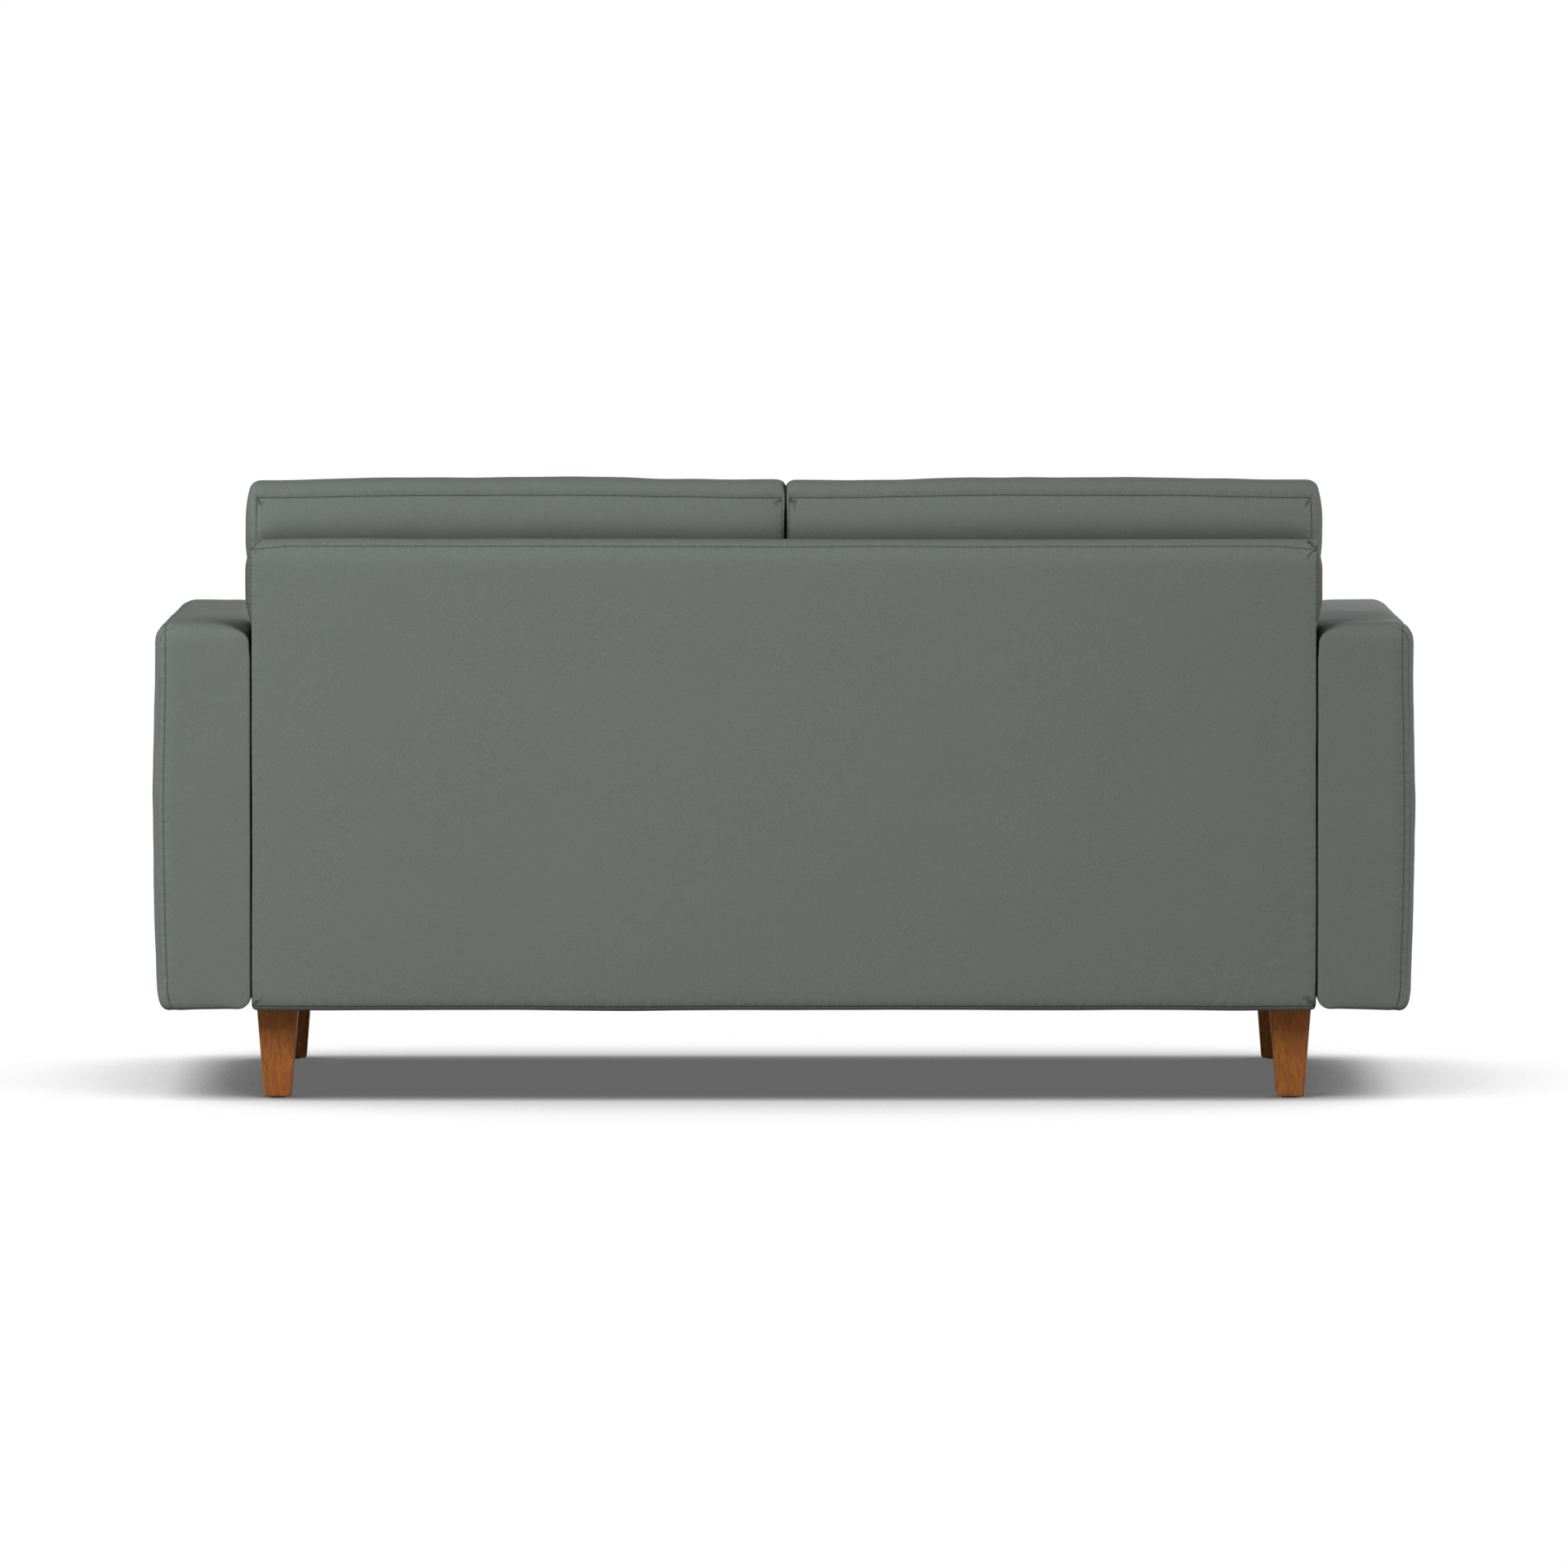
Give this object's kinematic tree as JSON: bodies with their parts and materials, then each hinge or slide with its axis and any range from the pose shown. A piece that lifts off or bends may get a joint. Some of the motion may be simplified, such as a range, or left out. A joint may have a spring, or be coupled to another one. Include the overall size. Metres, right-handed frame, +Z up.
{
  "type": "sofa bed",
  "caption": "Upholstered sofa bed on tapered wooden legs, with loose cushions and a three-fold bed that lifts and folds out of the seat box.",
  "frame": {"origin": "on the floor, under the middle of the body", "axes": "+Z up, the seat faces -Y and the back +Y, +X is the sitter's left"},
  "size_m": [1.791, 0.98, 0.8835],
  "materials": {
    "fabric": "fine flat weave, grey",
    "ticking": "pale woven ticking",
    "leg_wood": "stained and lacquered hardwood",
    "timber": "raw softwood and plywood",
    "bed_steel": "dark powder coat",
    "zinc": "zinc plated",
    "lining": "black non-woven dust cloth",
    "glide": "moulded"
  },
  "bodies": {
    "sofa_body": {"arm_cover_left": "fabric", "arm_cover_right": "fabric", "back_cover": "fabric", "front_rail_cover": "fabric", "leg_front_left": "leg_wood", "leg_front_right": "leg_wood", "leg_rear_left": "leg_wood", "leg_rear_right": "leg_wood", "arm_frame_left": "timber", "arm_frame_right": "timber", "back_frame": "timber", "rear_ledge": "timber", "base_front_rail": "timber", "base_rear_rail": "timber", "base_side_rail_left": "timber", "base_side_rail_right": "timber", "side_plate_left": "zinc", "side_plate_right": "zinc", "leg_plate_front_left": "zinc", "leg_plate_front_right": "zinc", "leg_plate_rear_left": "zinc", "leg_plate_rear_right": "zinc", "bottom_panel": "lining", "leg_glide_front_left": "glide", "leg_glide_front_right": "glide", "leg_glide_rear_left": "glide", "leg_glide_rear_right": "glide"},
    "lift_links_upper": {"lift_link_upper_left": "bed_steel", "lift_link_upper_right": "bed_steel"},
    "lift_links_lower": {"lift_link_lower_left": "bed_steel", "lift_link_lower_right": "bed_steel"},
    "head_section": {"head_frame": "bed_steel", "mattress_head": "ticking", "lift_bracket_left": "zinc", "lift_bracket_right": "zinc"},
    "middle_section": {"middle_frame": "bed_steel", "mattress_middle": "ticking"},
    "foot_section": {"foot_frame": "bed_steel", "mattress_foot": "ticking", "pull_bar": "bed_steel"},
    "middle_legs": {"middle_leg_left": "bed_steel", "middle_leg_right": "bed_steel", "middle_leg_bar": "bed_steel"},
    "foot_legs": {"foot_leg_left": "bed_steel", "foot_leg_right": "bed_steel", "foot_leg_bar": "bed_steel"},
    "seat_cushion_left": {"seat_cushion_left": "fabric"},
    "seat_cushion_right": {"seat_cushion_right": "fabric"},
    "back_cushion_left": {"back_cushion_left": "fabric"},
    "back_cushion_right": {"back_cushion_right": "fabric"}
  },
  "joints": [
    {"name": "lift_upper_swing", "type": "hinge", "parent": "sofa_body", "child": "lift_links_upper", "pos_m": [0, -0.345, 0.3392], "axis": [1, 0, 0], "range_deg": [0, 30.11]},
    {"name": "lift_lower_swing", "type": "hinge", "parent": "sofa_body", "child": "lift_links_lower", "pos_m": [0, -0.345, 0.2892], "axis": [1, 0, 0], "range_deg": [0, 30.11]},
    {"name": "head_level", "type": "hinge", "parent": "lift_links_upper", "child": "head_section", "pos_m": [0, 0.157, 0.2042], "axis": [1, 0, 0], "range_deg": [-30.11, 0]},
    {"name": "bed_unfold", "type": "hinge", "parent": "head_section", "child": "middle_section", "pos_m": [0, -0.405, 0.2192], "axis": [1, 0, 0], "range_deg": [0, 180]},
    {"name": "foot_level", "type": "hinge", "parent": "middle_section", "child": "foot_section", "pos_m": [0, 0.215, 0.2992], "axis": [1, 0, 0], "range_deg": [-180, 0]},
    {"name": "middle_leg_swing", "type": "hinge", "parent": "middle_section", "child": "middle_legs", "pos_m": [0, 0.17, 0.2879], "axis": [-1, 0, 0], "range_deg": [0, 90]},
    {"name": "foot_leg_swing", "type": "hinge", "parent": "foot_section", "child": "foot_legs", "pos_m": [0, -0.36, 0.3105], "axis": [-1, 0, 0], "range_deg": [0, 90]},
    {"name": "seat_cushion_left_lift", "type": "slide", "parent": "foot_section", "child": "seat_cushion_left", "axis": [0, 0, 1], "range_m": [0, 0.3]},
    {"name": "seat_cushion_right_lift", "type": "slide", "parent": "foot_section", "child": "seat_cushion_right", "axis": [0, 0, 1], "range_m": [0, 0.3]},
    {"name": "back_cushion_left_lift", "type": "slide", "parent": "sofa_body", "child": "back_cushion_left", "axis": [0, 0, 1], "range_m": [0, 0.4]},
    {"name": "back_cushion_right_lift", "type": "slide", "parent": "sofa_body", "child": "back_cushion_right", "axis": [0, 0, 1], "range_m": [0, 0.4]}
  ],
  "couplings": [
    {"joint": "lift_upper_swing", "follows": "bed_unfold", "ratio": 0.16725},
    {"joint": "lift_lower_swing", "follows": "bed_unfold", "ratio": 0.16725},
    {"joint": "head_level", "follows": "bed_unfold", "ratio": -0.16725},
    {"joint": "foot_level", "follows": "bed_unfold", "ratio": -1},
    {"joint": "middle_leg_swing", "follows": "bed_unfold", "ratio": 0.5},
    {"joint": "foot_leg_swing", "follows": "bed_unfold", "ratio": 0.5}
  ]
}
